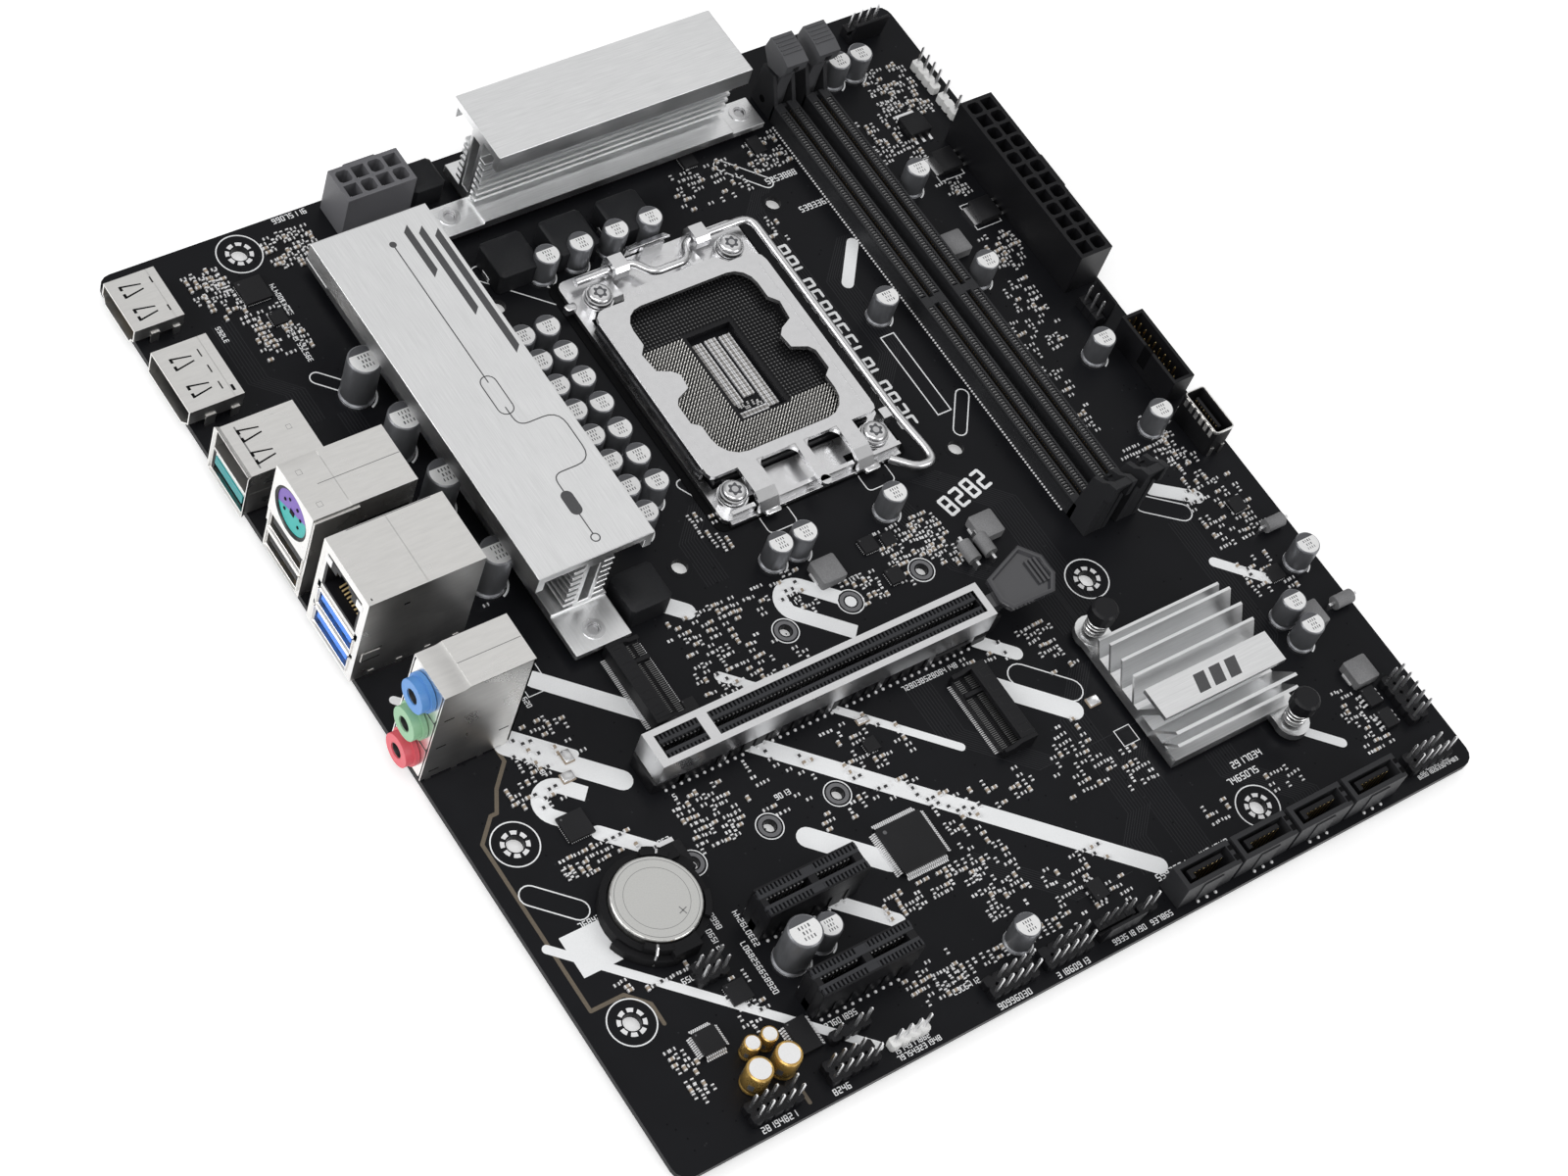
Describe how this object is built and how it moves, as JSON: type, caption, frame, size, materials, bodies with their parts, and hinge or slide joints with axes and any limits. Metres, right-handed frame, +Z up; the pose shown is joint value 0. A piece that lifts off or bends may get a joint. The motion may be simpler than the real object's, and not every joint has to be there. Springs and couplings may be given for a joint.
{
  "type": "micro-atx motherboard",
  "caption": "Compact desktop motherboard with a lever-clamped processor socket, memory and card slots, finned heatsinks, drive sockets and a row of rear connectors.",
  "frame": {"origin": "below the circuit board's centre, in the plane of the plated rings that the standoffs meet, 0.05 mm under its underside", "axes": "+X from the rear connector edge towards the memory slots, +Y from the expansion-slot edge towards the processor-power connector, +Z up from the component side"},
  "size_m": [0.225, 0.2438, 0.039],
  "materials": {
    "black_solder_mask": "matt black solder mask on glass-fibre board",
    "black_plastic": "fine matt moulding",
    "dark_grey_plastic": "fine matt moulding",
    "latch_grey_plastic": "satin moulding",
    "smoke_plastic": "smooth, slightly clear moulding",
    "grey_plastic": "fine matt moulding",
    "plated_steel": "bright nickel plating on pressed sheet",
    "spring_steel": "drawn wire",
    "brushed_aluminium": "light brushed extrusion",
    "nickel_shell": "bright folded sheet",
    "cell_nickel": "satin can",
    "capacitor_can": "satin can",
    "choke_ferrite": "dull moulded powder",
    "chip_green": "satin laminate"
  },
  "bodies": {
    "board": {"circuit_board": "black_solder_mask", "cpu_socket": "black_plastic", "retention_frame": "plated_steel", "frame_screw_1": "plated_steel", "frame_screw_2": "plated_steel", "frame_screw_3": "plated_steel", "frame_screw_4": "plated_steel", "socket_backplate": "plated_steel", "vrm_heatsink_left": "brushed_aluminium", "vrm_heatsink_top": "brushed_aluminium", "heatsink_screw_1": "plated_steel", "heatsink_screw_2": "plated_steel", "heatsink_screw_3": "plated_steel", "heatsink_screw_4": "plated_steel", "chipset_package": "chip_green", "chipset_heatsink": "brushed_aluminium", "pin_spring_1": "spring_steel", "pin_spring_2": "spring_steel", "dimm_slot_1": "dark_grey_plastic", "dimm_slot_2": "dark_grey_plastic", "pcie_x16_slot": "black_plastic", "pcie_x16_shield": "plated_steel", "pcie_x1_slot_1": "black_plastic", "pcie_x1_slot_2": "black_plastic", "m2_socket_1": "black_plastic", "m2_socket_2": "black_plastic", "atx_power_24pin": "black_plastic", "cpu_power_8pin": "grey_plastic", "battery_holder": "black_plastic", "hdmi_port": "nickel_shell", "displayport": "nickel_shell", "usb_a_port": "nickel_shell", "ps2_usb_stack": "nickel_shell", "lan_usb_stack": "nickel_shell", "audio_jack_stack": "nickel_shell", "sata_port_1": "black_plastic", "sata_port_2": "black_plastic", "sata_port_3": "black_plastic", "sata_port_4": "black_plastic", "front_audio_header": "black_plastic", "usb2_header": "black_plastic", "front_panel_header": "black_plastic", "cpu_fan_header": "black_plastic", "usb3_header": "black_plastic", "usb_c_header": "plated_steel", "io_controller_chip": "black_plastic", "audio_codec_chip": "black_plastic", "phase_choke_1": "choke_ferrite", "phase_choke_2": "choke_ferrite", "phase_choke_3": "choke_ferrite", "output_capacitors": "capacitor_can", "input_capacitors": "capacitor_can"},
    "load_plate": {"load_plate": "plated_steel"},
    "load_lever": {"load_lever": "plated_steel"},
    "memory_latch_1": {"dimm_latch_1": "latch_grey_plastic"},
    "memory_latch_2": {"dimm_latch_2": "latch_grey_plastic"},
    "card_latch": {"pcie_x16_latch": "smoke_plastic"},
    "coin_cell": {"coin_cell": "cell_nickel"},
    "push_pin_1": {"push_pin_1": "black_plastic"},
    "push_pin_2": {"push_pin_2": "black_plastic"}
  },
  "joints": [
    {"name": "load_lever_swing", "type": "hinge", "parent": "board", "child": "load_lever", "pos_m": [0.0095, 0.07528, 0.00625], "axis": [-1, 0, 0], "range_deg": [0, 110]},
    {"name": "load_plate_swing", "type": "hinge", "parent": "board", "child": "load_plate", "pos_m": [0.0084, 0.00618, 0.00565], "axis": [1, 0, 0], "range_deg": [0, 95]},
    {"name": "memory_latch_swing_1", "type": "hinge", "parent": "board", "child": "memory_latch_1", "pos_m": [0.064, 0.10568, 0.00505], "axis": [-1, 0, 0], "range_deg": [0, 30]},
    {"name": "memory_latch_swing_2", "type": "hinge", "parent": "board", "child": "memory_latch_2", "pos_m": [0.0736, 0.10568, 0.00505], "axis": [-1, 0, 0], "range_deg": [0, 30]},
    {"name": "card_latch_swing", "type": "hinge", "parent": "board", "child": "card_latch", "pos_m": [0.0241, -0.03952, 0.00485], "axis": [0, 1, 0], "range_deg": [0, 16]},
    {"name": "coin_cell_lift", "type": "slide", "parent": "board", "child": "coin_cell", "axis": [0, 0, 1], "range_m": [0, 0.008]},
    {"name": "push_pin_press_1", "type": "slide", "parent": "board", "child": "push_pin_1", "axis": [0, 0, -1], "range_m": [0, 0.0015], "deforming": ["pin_spring_1"]},
    {"name": "push_pin_press_2", "type": "slide", "parent": "board", "child": "push_pin_2", "axis": [0, 0, -1], "range_m": [0, 0.0015], "deforming": ["pin_spring_2"]}
  ]
}
